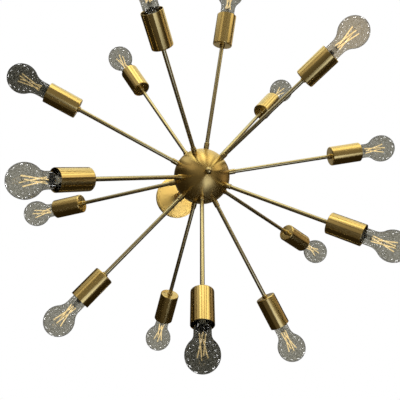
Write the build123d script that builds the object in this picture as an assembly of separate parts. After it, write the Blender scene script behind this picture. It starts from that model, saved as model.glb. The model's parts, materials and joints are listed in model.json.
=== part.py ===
from build123d import *
import os
from math import cos, radians, sin, sqrt

# A fifteen-arm ceiling chandelier: a round hub on a rigid stem, with three rings of five
# straight arms. Each arm ends in a brass cup that holds a screw-in filament lamp.
# Millimetres and degrees. The ceiling is the plane z = 0 and everything hangs below it.

# ---- clearances ---------------------------------------------------------------------------
seat_gap = 0.2          # between a piece and the face it is tightened against
thread_gap = 0.05       # radial, between a thread and the hole that it is screwed into
pivot_gap = 0.06        # radial, where the knuckle turns on its screw and in the canopy
slide_gap = 0.3         # radial, between a lamp's base and the bore of its holder

# ---- crossbar, screws and canopy ------------------------------------------------------------
bar_length = 106.0
bar_width = 18.0
bar_thickness = 2.0
box_screw_spacing = 88.9
box_slot_length = 9.0
box_slot_width = 4.6
canopy_screw_spacing = 70.0
canopy_screw_r = 2.0
ground_screw_x = 18.0
ground_head_r = 4.5
ground_head_height = 3.0
canopy_r = 60.0
canopy_depth = 25.0
canopy_edge_r = 10.0
canopy_wall = 1.0
ball_nut_r = 5.0
ball_nut_skirt_r = 4.2
ball_nut_skirt = 2.5

# ---- knuckle between canopy and stem --------------------------------------------------------
knuckle_r = 8.5
nipple_r = 5.0
nipple_above_face = 12.0
wire_bore_r = 3.0
washer_r = 10.0
washer_thickness = 1.0
lock_nut_flats = 17.0
lock_nut_thickness = 4.0
yoke_neck = 12.0        # from the washer down to the roof of the fork's slot
tongue_thickness = 6.0
tongue_side_gap = 0.2
pivot_screw_r = 2.4
pivot_head_r = 3.8
pivot_head_height = 2.0
tongue_body = 17.0
tube_seat_depth = 10.0  # how deep a tube sits in the piece that is screwed on its end

# ---- stem and hub ---------------------------------------------------------------------------
stem_r = 6.0
stem_wall = 1.0
hub_drop = 380.0        # ceiling to hub centre
hub_r = 61.0
hub_wall = 2.0
seam_below_centre = 20.0
lip_height = 4.0
lip_wall = 1.4
coupler_r = 11.0
coupler_top_r = 8.5
coupler_height = 18.0
coupler_skirt = 2.0       # how far its foot reaches down over the hub's pole
coupler_band = 3.0        # from the pole up to its shoulder
coupler_shoulder = 7.0    # from the pole up to its narrow top
coupler_edge = 1.0
hub_rod_r = 5.0
hub_nut_flats = 16.0
hub_nut_thickness = 5.0
finial_r = 8.0
finial_collar_r = 6.0
finial_collar = 2.4
finial_thread_depth = 9.0

# ---- arms -----------------------------------------------------------------------------------
arms_per_ring = 5
first_azimuth = 54.0
ring_pitch = {"lower": -36.0, "middle": -5.0, "upper": 26.5}
ring_turn = {"lower": 0.0, "middle": 36.0, "upper": 0.0}
# The arms are aimed by hand. These stand off their regular place by (azimuth, pitch).
arm_trim = {
    ("lower", 2): (0.5, -1.0),
    ("lower", 3): (1.0, 0.0),
    ("lower", 4): (1.5, 0.5),
    ("middle", 1): (-0.5, -1.0),
    ("middle", 4): (0.0, 4.0),
    ("upper", 1): (-1.0, 0.5),
    ("upper", 3): (-1.0, 0.0),
    ("upper", 4): (-1.0, -0.5),
    ("upper", 5): (3.0, -0.5),
}
rod_r = 4.4
rod_wall = 1.0
rod_inside_hub = 10.0   # how far a rod reaches in past the hub's inner wall
collar_r = 5.8
collar_length = 14.0
arm_nut_flats = 13.0
arm_nut_thickness = 4.0

# ---- cups and lamp holders ------------------------------------------------------------------
cup_from_centre = 296.0
cup_r = 21.4
cup_length = 68.5
cup_wall = 1.0
cup_edge_r = 2.5
ferrule_r = 6.0
ferrule_length = 4.0
cup_nut_thickness = 4.0
holder_boss_r = 8.0
holder_boss = 9.0
holder_r = 17.5
holder_body = 48.0
holder_edge = 1.5
holder_bore_depth = 24.0
holder_step = 3.0

# ---- lamps ----------------------------------------------------------------------------------
globe_r = 30.0
globe_past_mouth = 54.0
neck_r = 15.5
shoulder_r = 25.0       # the hollow curve between globe and neck
glass_wall = 1.0
neck_foot_r = 14.0
neck_taper = 6.5
screw_r = 13.0
screw_length = 17.0
cone_length = 5.0
contact_r = 4.8
contact_height = 1.6
contact_gap = 0.4
base_wall = 1.0
mount_stem_r = 4.0
mount_stem_height = 21.0
mount_rod_r = 1.6
filament_count = 4
filament_r = 1.0
filament_foot_r = 5.6
filament_head_r = 9.0
filament_twist = 95.0
filament_height = 44.0
wire_r = 0.6

# ---- places worked out from the sizes above ---------------------------------------------------
face_z = -canopy_depth
inner_face_z = face_z + canopy_wall
washer_top_z = face_z - seat_gap
yoke_top_z = washer_top_z - washer_thickness
slot_roof_z = yoke_top_z - yoke_neck
pivot_z = slot_roof_z - knuckle_r - seat_gap
shoulder_z = pivot_z - knuckle_r - 2 * seat_gap
tongue_bottom_z = shoulder_z - tongue_body
stem_top_z = tongue_bottom_z + tube_seat_depth - seat_gap
coupler_top = hub_r + coupler_height
hub_bore_r = hub_r - hub_wall
cup_mouth = cup_length
holder_foot = cup_wall + cup_nut_thickness + 2 * seat_gap
holder_shoulder = holder_foot + holder_boss
holder_mouth = holder_shoulder + holder_body
rod_end = cup_from_centre + holder_shoulder - 2 * seat_gap
contact_z = holder_mouth - holder_bore_depth + contact_gap
screw_z = contact_z + contact_height + cone_length
neck_foot_z = screw_z + screw_length + seat_gap
globe_z = cup_mouth + globe_past_mouth


# ---- shapes used more than once ---------------------------------------------------------------
def turned(outline):
    """A lathe-turned solid from its half section, points as (radius, height)."""
    section = Plane.XZ * make_face(Polyline(*outline, close=True))
    return revolve(section, Axis.Z)


def cylinder(radius, low, high):
    return Pos(0, 0, low) * Cylinder(radius, high - low, align=(Align.CENTER, Align.CENTER, Align.MIN))


def tube(radius, wall, low, high):
    return cylinder(radius, low, high) - cylinder(radius - wall, low, high)


def hex_nut(flats, bore_r, low, high):
    blank = extrude(RegularPolygon(flats / 2, 6, major_radius=False), high - low)
    return Pos(0, 0, low) * blank - cylinder(bore_r, low, high)


def face_under_dome(dome_r, corner_r):
    """How far from a dome's centre a flat face lies whose outermost corners touch the dome."""
    return sqrt(dome_r**2 - corner_r**2)


def across_corners(flats):
    return flats / cos(radians(30))


# ---- canopy group -----------------------------------------------------------------------------
def make_crossbar():
    bar = Pos(0, 0, -bar_thickness / 2) * Box(bar_length, bar_width, bar_thickness)
    corners = bar.edges().filter_by(Axis.Z)
    bar = fillet(corners, bar_width / 3)
    slot = extrude(SlotOverall(box_slot_length, box_slot_width), -bar_thickness)
    for side in (-1, 1):
        bar -= Pos(side * box_screw_spacing / 2, 0, 0) * slot
        bar -= Pos(side * canopy_screw_spacing / 2, 0, 0) * cylinder(
            canopy_screw_r + thread_gap, -bar_thickness, 0
        )
    bar -= cylinder(nipple_r + thread_gap, -bar_thickness, 0)
    bar -= Pos(ground_screw_x, 0, 0) * cylinder(canopy_screw_r + thread_gap, -bar_thickness, 0)
    return bar


def make_canopy():
    """A spun dish, open at the ceiling, with a broad round edge and a flat face."""
    flat_r = canopy_r - canopy_edge_r
    bend = sin(radians(45))

    def edge_arc(offset):
        radius = canopy_edge_r - offset
        centre_z = face_z + canopy_edge_r
        return ThreePointArc(
            (flat_r, centre_z - radius),
            (flat_r + radius * bend, centre_z - radius * bend),
            (flat_r + radius, centre_z),
        )

    outside = edge_arc(0)
    inside = edge_arc(canopy_wall)
    outline = (
        Line((0, face_z), outside @ 0)
        + outside
        + Line(outside @ 1, (canopy_r, 0))
        + Line((canopy_r, 0), (canopy_r - canopy_wall, 0))
        + Line((canopy_r - canopy_wall, 0), inside @ 1)
        + inside
        + Line(inside @ 0, (0, inner_face_z))
        + Line((0, inner_face_z), (0, face_z))
    )
    dish = revolve(Plane.XZ * make_face(outline), Axis.Z)
    dish -= cylinder(nipple_r + pivot_gap, face_z, inner_face_z)
    for side in (-1, 1):
        dish -= Pos(side * canopy_screw_spacing / 2, 0, 0) * cylinder(
            canopy_screw_r + slide_gap, face_z, inner_face_z
        )
    return dish


def make_canopy_studs():
    stud = cylinder(canopy_screw_r, face_z - ball_nut_skirt - ball_nut_r, -seat_gap)
    return [Pos(side * canopy_screw_spacing / 2, 0, 0) * stud for side in (-1, 1)]


def make_ball_nuts():
    top = face_z - seat_gap
    ball = Pos(0, 0, top - ball_nut_skirt - ball_nut_r * 0.7) * Sphere(ball_nut_r)
    nut = cylinder(ball_nut_skirt_r, top - ball_nut_skirt - ball_nut_r / 2, top) + ball
    nut -= cylinder(canopy_screw_r + thread_gap, top - ball_nut_skirt - ball_nut_r, top)
    return [Pos(side * canopy_screw_spacing / 2, 0, 0) * nut for side in (-1, 1)]


def make_ground_screw():
    head_top = -bar_thickness - seat_gap
    screw = cylinder(canopy_screw_r, head_top, -seat_gap)
    screw += cylinder(ground_head_r, head_top - ground_head_height, head_top)
    slot = Box(2 * ground_head_r, 1.0, 1.6)
    screw -= Pos(0, 0, head_top - ground_head_height) * slot
    return Pos(ground_screw_x, 0, 0) * screw


# ---- knuckle ------------------------------------------------------------------------------------
def pivot_hole(radius):
    """A bore along X through the knuckle's pivot."""
    return Pos(0, 0, pivot_z) * Rot(Y=90) * Cylinder(radius, 4 * knuckle_r)


def rounded_at_pivot(radius, low, high):
    """A plate seen along X, as wide as the knuckle, that ends in a half round at the pivot."""
    disc = Pos(0, pivot_z) * Circle(radius)
    block = Pos(0, (low + high) / 2) * Rectangle(2 * radius, high - low)
    return extrude(Plane.YZ * (disc + block), 2 * knuckle_r, both=True)


def make_swivel_yoke():
    """The knuckle's upper half: a nipple up through the canopy and a fork below it."""
    fork = cylinder(knuckle_r, pivot_z - knuckle_r, yoke_top_z)
    fork &= rounded_at_pivot(knuckle_r, pivot_z, yoke_top_z)
    slot_width = tongue_thickness + 2 * tongue_side_gap
    slot_low = pivot_z - 2 * knuckle_r
    slot_height = slot_roof_z - slot_low
    fork -= Pos(0, 0, slot_low + slot_height / 2) * Box(slot_width, 4 * knuckle_r, slot_height)
    yoke = fork + cylinder(nipple_r, yoke_top_z, inner_face_z + nipple_above_face)
    yoke -= cylinder(wire_bore_r, slot_roof_z, inner_face_z + nipple_above_face)
    return yoke - pivot_hole(pivot_screw_r + thread_gap)


def make_swivel_washer():
    return tube(washer_r, washer_r - nipple_r - thread_gap, yoke_top_z, washer_top_z)


def make_swivel_lock_nut():
    low = inner_face_z + seat_gap
    return hex_nut(lock_nut_flats, nipple_r + thread_gap, low, low + lock_nut_thickness)


def make_swivel_screw():
    shank = cylinder(pivot_screw_r, -knuckle_r, knuckle_r + seat_gap)
    head = cylinder(pivot_head_r, knuckle_r + seat_gap, knuckle_r + seat_gap + pivot_head_height)
    slot = Pos(0, 0, knuckle_r + seat_gap + pivot_head_height) * Box(2 * pivot_head_r, 1.0, 1.6)
    return Pos(0, 0, pivot_z) * Rot(Y=90) * (shank + head - slot)


def make_swivel_tongue():
    """The knuckle's lower half: a flat tongue in the fork and a round body that takes the stem."""
    tongue = rounded_at_pivot(knuckle_r - seat_gap, shoulder_z - seat_gap, pivot_z)
    tongue &= Pos(0, 0, pivot_z) * Box(tongue_thickness, 4 * knuckle_r, 4 * knuckle_r)
    tongue &= cylinder(knuckle_r, shoulder_z - seat_gap, slot_roof_z)
    body = cylinder(knuckle_r, tongue_bottom_z, shoulder_z)
    body = chamfer(body.edges().group_by(Axis.Z)[0], 1.0)
    body -= cylinder(stem_r + thread_gap, tongue_bottom_z, tongue_bottom_z + tube_seat_depth)
    return tongue + body - pivot_hole(pivot_screw_r + pivot_gap)


# ---- stem and hub, built about the hub's centre ---------------------------------------------------
def make_stem():
    low = -hub_drop + coupler_top - tube_seat_depth + seat_gap
    return tube(stem_r, stem_wall, low, stem_top_z)


def make_hub_coupler():
    outline = [
        (0, hub_r - coupler_skirt),
        (coupler_r, hub_r - coupler_skirt),
        (coupler_r, hub_r + coupler_band),
        (coupler_top_r, hub_r + coupler_shoulder),
        (coupler_top_r, coupler_top - coupler_edge),
        (coupler_top_r - coupler_edge, coupler_top),
        (0, coupler_top),
    ]
    coupler = turned(outline) - Sphere(hub_r + seat_gap)
    coupler -= cylinder(stem_r + thread_gap, coupler_top - tube_seat_depth, coupler_top)
    return coupler - cylinder(hub_rod_r + thread_gap, hub_r - coupler_skirt, coupler_top)


def half_space(low, high):
    return cylinder(2 * hub_r, low, high)


def drilled_hub(shell):
    """The hub's wall with a hole for every arm and for the rod at both poles."""
    shell -= cylinder(hub_rod_r + 2 * thread_gap, -hub_r, hub_r)
    for ring, number in arm_names():
        shell -= arm_frame(ring, number) * cylinder(rod_r + 2 * thread_gap, hub_bore_r / 2, hub_r + 1.0)
    return shell


def make_hub_upper_shell():
    wall = Sphere(hub_r) - Sphere(hub_bore_r)
    wall &= half_space(-seam_below_centre, hub_r)
    return drilled_hub(wall)


def make_hub_lower_shell():
    """The lower bowl, with a lip that stands up inside the upper shell's edge."""
    seam = -seam_below_centre
    wall = Sphere(hub_r) - Sphere(hub_bore_r)
    wall &= half_space(-hub_r, seam - thread_gap)
    lip = Sphere(hub_bore_r - seat_gap) - Sphere(hub_bore_r - lip_wall)
    lip &= half_space(seam - lip_height, seam + lip_height)
    web = Sphere(hub_bore_r + hub_wall / 4) - Sphere(hub_bore_r - lip_wall)
    web &= half_space(seam - lip_height, seam - thread_gap)
    return drilled_hub(wall + web + lip)


def make_hub_rod():
    low = -hub_r - finial_collar - finial_thread_depth + 1.0
    return tube(hub_rod_r, hub_rod_r - wire_bore_r, low, coupler_top - tube_seat_depth - seat_gap)


def make_hub_rod_nut():
    top = face_under_dome(hub_bore_r, across_corners(hub_nut_flats) / 2) - seat_gap
    return hex_nut(hub_nut_flats, hub_rod_r + thread_gap, top - hub_nut_thickness, top)


def make_finial():
    """A ball nut under the hub, with a short collar that seats on the sphere."""
    ball_z = -hub_r - finial_collar - finial_r
    finial = cylinder(finial_collar_r, ball_z, -hub_r + 2.0) - Sphere(hub_r + seat_gap)
    finial += Pos(0, 0, ball_z) * Sphere(finial_r)
    thread_end = -hub_r - finial_collar - finial_thread_depth
    return finial - cylinder(hub_rod_r + thread_gap, thread_end, -hub_r + 2.0)


# ---- arms, built along +Z from the hub's centre -----------------------------------------------------
def arm_names():
    return [(ring, number) for ring in ring_pitch for number in range(1, arms_per_ring + 1)]


def arm_frame(ring, number):
    """Turns an arm built along +Z about the hub's centre to its own direction."""
    trim_azimuth, trim_pitch = arm_trim.get((ring, number), (0.0, 0.0))
    azimuth = first_azimuth + ring_turn[ring] + (number - 1) * 360 / arms_per_ring + trim_azimuth
    return Rot(Z=azimuth) * Rot(Y=90 - ring_pitch[ring] - trim_pitch)


def make_arm_rod():
    return tube(rod_r, rod_wall, hub_bore_r - rod_inside_hub, rod_end)


def make_arm_collar():
    """The round nut on the hub's outside, hollowed to sit on the sphere."""
    collar = cylinder(collar_r, hub_r - 1.0, hub_r + collar_length)
    collar = chamfer(collar.edges().group_by(Axis.Z)[-1], 0.8)
    collar -= Sphere(hub_r + seat_gap)
    return collar - cylinder(rod_r + thread_gap, hub_r - 1.0, hub_r + collar_length)


def make_arm_nut():
    top = face_under_dome(hub_bore_r, across_corners(arm_nut_flats) / 2) - seat_gap
    return hex_nut(arm_nut_flats, rod_r + thread_gap, top - arm_nut_thickness, top)


# ---- cup and holder, built along +Z from the cup's base ----------------------------------------------
def make_cup():
    """A drawn cup, closed and lightly rounded at its base, with an open mouth."""
    blank = fillet(cylinder(cup_r, 0, cup_length).edges().group_by(Axis.Z)[0], cup_edge_r)
    hollow = cylinder(cup_r - cup_wall, cup_wall, cup_length)
    hollow = fillet(hollow.edges().group_by(Axis.Z)[0], cup_edge_r - cup_wall)
    return blank - hollow - cylinder(rod_r + thread_gap, 0, cup_wall)


def make_cup_ferrule():
    ferrule = cylinder(ferrule_r, -ferrule_length - seat_gap, -seat_gap)
    ferrule = chamfer(ferrule.edges().group_by(Axis.Z)[0], 1.0)
    return ferrule - cylinder(rod_r + thread_gap, -ferrule_length - seat_gap, -seat_gap)


def make_cup_nut():
    low = cup_wall + seat_gap
    return hex_nut(arm_nut_flats, rod_r + thread_gap, low, low + cup_nut_thickness)


def make_lampholder():
    """A ceramic holder on the rod's end, with a stepped bore for the lamp's screw base."""
    bore_r = screw_r + slide_gap
    floor = holder_mouth - holder_bore_depth
    holder = turned(
        [
            (0, holder_foot),
            (holder_boss_r, holder_foot),
            (holder_boss_r, holder_shoulder - holder_step),
            (holder_r, holder_shoulder),
            (holder_r, holder_mouth - holder_edge),
            (holder_r - holder_edge, holder_mouth),
            (0, holder_mouth),
        ]
    )
    holder -= cylinder(rod_r + thread_gap, holder_foot, holder_shoulder)
    holder -= cylinder(bore_r, floor + holder_step, holder_mouth)
    return holder - cylinder(contact_r * 2, floor, floor + holder_step)


# ---- lamp, built along +Z from the cup's base ---------------------------------------------------------
def envelope_side(offset):
    """The lamp's side from tip to neck as three tangent curves, offset inwards for the inside."""
    globe = globe_r - offset
    neck = neck_r - offset
    hollow = shoulder_r + offset
    hollow_x = neck + hollow
    hollow_dz = sqrt((globe + hollow) ** 2 - hollow_x**2)
    meet = (globe * hollow_x / (globe + hollow), globe_z - globe * hollow_dz / (globe + hollow))
    neck_top = (neck, globe_z - hollow_dz)
    bisector = Vector(neck_top[0] + meet[0] - 2 * hollow_x, neck_top[1] + meet[1] - 2 * neck_top[1])
    bisector = bisector.normalized() * hollow
    hollow_mid = (hollow_x + bisector.X, neck_top[1] + bisector.Y)
    crown = ThreePointArc((0, globe_z + globe), (globe, globe_z), meet)
    return crown + ThreePointArc(meet, hollow_mid, neck_top), neck_top


def make_envelope():
    """The lamp's glass: a round globe that runs through a hollow curve into its neck."""
    outside, outer_neck = envelope_side(0)
    inside, inner_neck = envelope_side(glass_wall)
    taper_top = neck_foot_z + neck_taper
    foot = [
        outer_neck,
        (neck_r, taper_top),
        (neck_foot_r, neck_foot_z),
        (neck_foot_r - glass_wall, neck_foot_z),
        (neck_r - glass_wall, taper_top),
        inner_neck,
    ]
    axis_line = Line((0, globe_z + globe_r - glass_wall), (0, globe_z + globe_r))
    section = make_face(outside + Polyline(*foot) + inside + axis_line)
    return revolve(Plane.XZ * section, Axis.Z)


def make_lamp_base():
    """The hollow screw base: contact, insulating cone and shell. Its thread is left plain."""
    top = neck_foot_z - seat_gap
    base = turned(
        [
            (0, contact_z),
            (contact_r - 1.0, contact_z),
            (contact_r, contact_z + contact_height),
            (contact_r + 1.0, contact_z + contact_height),
            (screw_r - 1.0, screw_z - 1.0),
            (screw_r, screw_z),
            (screw_r, top),
            (0, top),
        ]
    )
    return base - cylinder(screw_r - base_wall, screw_z, top)


def filament_end(turn, radius, height):
    return Vector(radius * cos(radians(turn)), radius * sin(radians(turn)), height)


def bar_between(start, end, radius):
    along = end - start
    return Plane(origin=start, z_dir=along) * cylinder(radius, 0, along.length)


def make_lamp_mount():
    """The glass stem inside the lamp, with its leaning filaments on wires."""
    foot = neck_foot_z + seat_gap
    stem_top = foot + mount_stem_height
    filament_top = stem_top + filament_height
    mount = turned(
        [
            (0, foot),
            (neck_foot_r - glass_wall - 2 * seat_gap, foot),
            (mount_stem_r, foot + mount_stem_height / 2),
            (mount_stem_r, stem_top),
            (mount_rod_r, stem_top + mount_stem_r),
            (mount_rod_r, filament_top),
            (0, filament_top),
        ]
    )
    for index in range(filament_count):
        turn = index * 360 / filament_count
        low = filament_end(turn, filament_foot_r, stem_top - filament_r)
        high = filament_end(turn + filament_twist, filament_head_r, filament_top - filament_r)
        mount += bar_between(low, high, filament_r)
        for end in (low, high):
            mount += bar_between(Vector(0, 0, end.Z), end, wire_r)
    return mount


def make_lamp():
    return [make_envelope(), make_lamp_base(), make_lamp_mount()]


# ---- assembly -------------------------------------------------------------------------------------------
def at_hub(shape):
    return Pos(0, 0, -hub_drop) * shape


def on_arm(ring, number, shape, distance=0.0):
    return at_hub(arm_frame(ring, number) * Pos(0, 0, distance) * shape)


def on_every_arm(shape, distance=0.0):
    return [on_arm(ring, number, shape, distance) for ring, number in arm_names()]


def build():
    nodes = {
        "crossbar": [make_crossbar()],
        "canopy_studs": make_canopy_studs(),
        "ball_nuts": make_ball_nuts(),
        "ground_screw": [make_ground_screw()],
        "canopy": [make_canopy()],
        "swivel_yoke": [make_swivel_yoke()],
        "swivel_washer": [make_swivel_washer()],
        "swivel_lock_nut": [make_swivel_lock_nut()],
        "swivel_screw": [make_swivel_screw()],
        "swivel_tongue": [make_swivel_tongue()],
        "stem": [make_stem()],
        "hub_coupler": [at_hub(make_hub_coupler())],
        "hub_upper_shell": [at_hub(make_hub_upper_shell())],
        "hub_lower_shell": [at_hub(make_hub_lower_shell())],
        "hub_rod": [at_hub(make_hub_rod())],
        "hub_rod_nut": [at_hub(make_hub_rod_nut())],
        "finial": [at_hub(make_finial())],
        "arm_collars": on_every_arm(make_arm_collar()),
        "arm_nuts": on_every_arm(make_arm_nut()),
        "cup_ferrules": on_every_arm(make_cup_ferrule(), cup_from_centre),
        "cup_nuts": on_every_arm(make_cup_nut(), cup_from_centre),
        "lampholders": on_every_arm(make_lampholder(), cup_from_centre),
    }
    rod = make_arm_rod()
    for ring in ring_pitch:
        numbers = range(1, arms_per_ring + 1)
        nodes[f"{ring}_arm_rods"] = [on_arm(ring, number, rod) for number in numbers]
    cup = make_cup()
    lamp = make_lamp()
    for ring, number in arm_names():
        nodes[f"{ring}_cup_{number}"] = [on_arm(ring, number, cup, cup_from_centre)]
        nodes[f"{ring}_bulb_{number}"] = [
            on_arm(ring, number, piece, cup_from_centre) for piece in lamp
        ]
    return nodes


os.makedirs("parts", exist_ok=True)
for name, solids in build().items():
    shape = solids[0] if len(solids) == 1 else Compound(solids)
    export_step(shape, f"parts/{name}.step")
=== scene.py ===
import bmesh
import bpy
import json
import math
from mathutils import Matrix, Vector


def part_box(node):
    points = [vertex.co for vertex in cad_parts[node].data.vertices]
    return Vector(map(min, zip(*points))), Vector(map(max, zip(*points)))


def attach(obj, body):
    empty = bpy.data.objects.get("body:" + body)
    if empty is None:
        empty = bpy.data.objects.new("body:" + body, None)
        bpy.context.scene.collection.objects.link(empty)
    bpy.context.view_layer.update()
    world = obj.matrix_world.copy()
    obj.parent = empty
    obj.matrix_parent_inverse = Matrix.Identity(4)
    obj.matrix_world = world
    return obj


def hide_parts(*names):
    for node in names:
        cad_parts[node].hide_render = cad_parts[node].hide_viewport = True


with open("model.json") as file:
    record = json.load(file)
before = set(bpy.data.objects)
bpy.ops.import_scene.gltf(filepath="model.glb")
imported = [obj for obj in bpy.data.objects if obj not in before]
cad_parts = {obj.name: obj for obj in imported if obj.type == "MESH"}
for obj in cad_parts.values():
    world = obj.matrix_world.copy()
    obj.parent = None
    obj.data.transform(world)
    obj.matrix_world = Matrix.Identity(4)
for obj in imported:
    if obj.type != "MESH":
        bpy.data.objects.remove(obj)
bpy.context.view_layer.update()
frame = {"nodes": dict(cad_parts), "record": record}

# A round hub carries fifteen straight arms. Each arm ends in a turned brass cup that holds a smoky
# filament lamp. Sizes are millimetres here and become metres in each mesh.
MM = 0.001

# ---- the frame's own places ----------------------------------------------------------------------
hub_low, hub_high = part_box("hub_upper_shell")
hub_r = (hub_high[0] - hub_low[0]) / 2 / MM
hub_z = hub_high[2] / MM - hub_r
hub_foot = hub_z - hub_r
joint_named = {joint["name"]: joint for joint in frame["record"]["behaviour"]["joints"]}
rings = ("lower", "middle", "upper")
arms_per_ring = 5
arms = [(ring, number) for ring in rings for number in range(1, arms_per_ring + 1)]

# ---- sizes along an arm, from the hub's centre ---------------------------------------------------
rod_r = 4.4
rod_wall = 1.0
rod_start = 49.0
rod_end = 310.0
rod_hole_r = rod_r + 0.05  # in the pieces that are screwed on the rod
rod_way_r = rod_r + 0.1  # in the cup and the holder, which the rod passes through
collar_foot = hub_r - 0.8  # just under the hub's round face
collar_r = 5.8
collar_end = 75.0
collar_groove = 0.5
collar_bevel = 0.8
cup_start = 296.0
cup_r = 21.4
cup_length = 68.5
cup_wall = 1.0
cup_edge_r = 2.5
cup_lip_height = 0.35
cup_lip_width = 0.3
cup_sides = 112
ferrule_r = 6.0
ferrule_length = 4.2
ferrule_bevel = 1.0
ferrule_gap = 0.2

# ---- sizes of a holder and a lamp, from the cup's base -------------------------------------------
holder_r = 17.5
holder_foot = 5.4
holder_boss_r = 8.0
holder_shoulder = 14.4
holder_mouth = 62.4
holder_bore_r = 13.3
holder_floor = 38.4
holder_floor_r = 9.6
holder_step = 3.0
holder_groove = 1.0
globe_r = 30.0
globe_z = 122.5
globe_steps = 36
globe_sides = 96
neck_r = 15.5
shoulder_r = 25.0  # the hollow curve between globe and neck
glass_wall = 0.7
neck_foot_r = 14.0
neck_foot_z = 62.6
neck_taper = 6.5
screw_r = 13.0
screw_core_r = screw_r - 0.6
screw_end_r = 12.0
screw_foot = 45.4
screw_top = 62.3
thread_foot = screw_foot + 1.2
thread_height = screw_top - screw_foot - 4.0
thread_pitch = 3.63
thread_depth = 0.55
contact_z = 38.8
contact_r = 4.6
contact_top = contact_z + 1.6
mount_foot = neck_foot_z + 0.4
mount_height = 21.0
mount_top = mount_foot + mount_height
mount_flare_r = 12.4
mount_stem_r = 4.0
mount_rod_r = 1.1
stick_count = 4
stick_r = 1.05
stick_taper = 0.7
stick_end = 0.6
stick_foot_r = 5.6
stick_head_r = 9.0
stick_twist = 95.0
stick_rise = 44.0
wire_r = 0.3

# ---- sizes of the finial -------------------------------------------------------------------------
finial_r = 8.0
finial_neck_r = 6.0
finial_neck = 2.4
finial_sunk = 0.6


# ---- node helpers --------------------------------------------------------------------------------
class Nodes:
    """Adds and links shader or geometry nodes by short calls."""

    def __init__(self, tree):
        self.tree = tree

    def add(self, kind, sockets=None, **settings):
        """A node with its settings made, and its sockets linked or set."""
        node = self.tree.nodes.new(kind)
        for key, value in settings.items():
            setattr(node, key, value)
        self.fill(node, sockets or {})
        return node

    def fill(self, node, sockets):
        """Links each of the node's sockets to the socket that is given, or sets it to the value."""
        for label, value in sockets.items():
            if hasattr(value, "links"):
                self.tree.links.new(value, node.inputs[label])
            else:
                node.inputs[label].default_value = value

    def math(self, operation, first, second=None):
        sockets = {0: first} if second is None else {0: first, 1: second}
        return self.add("ShaderNodeMath", sockets, operation=operation).outputs[0]

    def blend(self, factor, low, high):
        """Mixes two colours, each a socket or a value."""
        return self.add("ShaderNodeMix", {0: factor, 6: low, 7: high}, data_type="RGBA").outputs[2]

    def body(self):
        """The place in the piece's body, which the patterns follow when it moves."""
        return self.add("ShaderNodeTexCoord").outputs["Object"]

    def noise(self, place, scale, **more):
        sockets = {"Vector": place, "Scale": scale, **more}
        return self.add("ShaderNodeTexNoise", sockets).outputs["Fac"]

    def cells(self, place, scale):
        return self.add("ShaderNodeTexVoronoi", {"Vector": place, "Scale": scale}).outputs

    def remap(self, value, low, high, top=1.0):
        """Spreads what lies between low and high over 0 to top."""
        sockets = {"Value": value, "From Min": low, "From Max": high, "To Max": top}
        return self.add("ShaderNodeMapRange", sockets).outputs[0]

    def sway(self, noise, amount):
        """A noise's distance from its middle, times an amount."""
        return self.math("MULTIPLY", self.math("SUBTRACT", noise, 0.5), amount)

    def bump(self, height, strength, distance):
        sockets = {"Height": height, "Strength": strength, "Distance": distance}
        return self.add("ShaderNodeBump", sockets).outputs[0]

    def polar(self, angle, radius, height=0.0):
        """A place by its angle round Z, its radius and its height."""
        across = self.math("MULTIPLY", self.math("COSINE", angle), radius)
        beside = self.math("MULTIPLY", self.math("SINE", angle), radius)
        return self.add("ShaderNodeCombineXYZ", {"X": across, "Y": beside, "Z": height}).outputs[0]


def new_tree(name, kind, inputs, outputs):
    """A node group with named sockets, its nodes, and what it is given.

    Inputs are (name, kind of socket, default), outputs are (name, kind of socket).
    """
    tree = bpy.data.node_groups.new(name, kind)
    for label, socket_kind, default in inputs:
        kind_name = "NodeSocket" + socket_kind
        socket = tree.interface.new_socket(name=label, in_out="INPUT", socket_type=kind_name)
        if default is not None:
            socket.default_value = default
    for label, socket_kind in outputs:
        kind_name = "NodeSocket" + socket_kind
        tree.interface.new_socket(name=label, in_out="OUTPUT", socket_type=kind_name)
    n = Nodes(tree)
    return tree, n, n.add("NodeGroupInput").outputs


# ---- patterns of the finishes --------------------------------------------------------------------
def brushed_group():
    """Fine lathe marks that run round a piece, with faint tarnish and handling marks."""
    tree, n, given = new_tree(
        "brushed_metal",
        "ShaderNodeTree",
        [
            ("Place", "Vector", None),
            ("Body", "Vector", None),
            ("Bright", "Color", (0.82, 0.63, 0.3, 1)),
            ("Aged", "Color", (0.55, 0.4, 0.17, 1)),
            ("Roughness", "Float", 0.3),
            ("Age", "Float", 0.4),
        ],
        [("Color", "Color"), ("Roughness", "Float"), ("Height", "Float")],
    )
    lines = n.noise(given["Place"], 1.0, Detail=4.0, Roughness=0.7)
    clouds = n.noise(given["Body"], 38.0, Detail=5.0, Distortion=0.4)
    specks = n.noise(given["Body"], 420.0)
    aged = n.math("MULTIPLY", n.remap(clouds, 0.42, 0.72), given["Age"])
    spots = n.math("MULTIPLY", n.remap(specks, 0.62, 0.76), n.math("MULTIPLY", given["Age"], 0.3))
    share = n.math("ADD", n.math("ADD", aged, n.sway(lines, 0.12)), spots)
    share = n.add("ShaderNodeClamp", {"Value": share}).outputs[0]
    rougher = n.math("ADD", n.sway(lines, 0.04), n.math("MULTIPLY", aged, 0.12))
    made = {
        "Color": n.blend(share, given["Bright"], given["Aged"]),
        "Roughness": n.math("ADD", given["Roughness"], rougher),
        "Height": lines,
    }
    n.add("NodeGroupOutput", made)
    return tree


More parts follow.
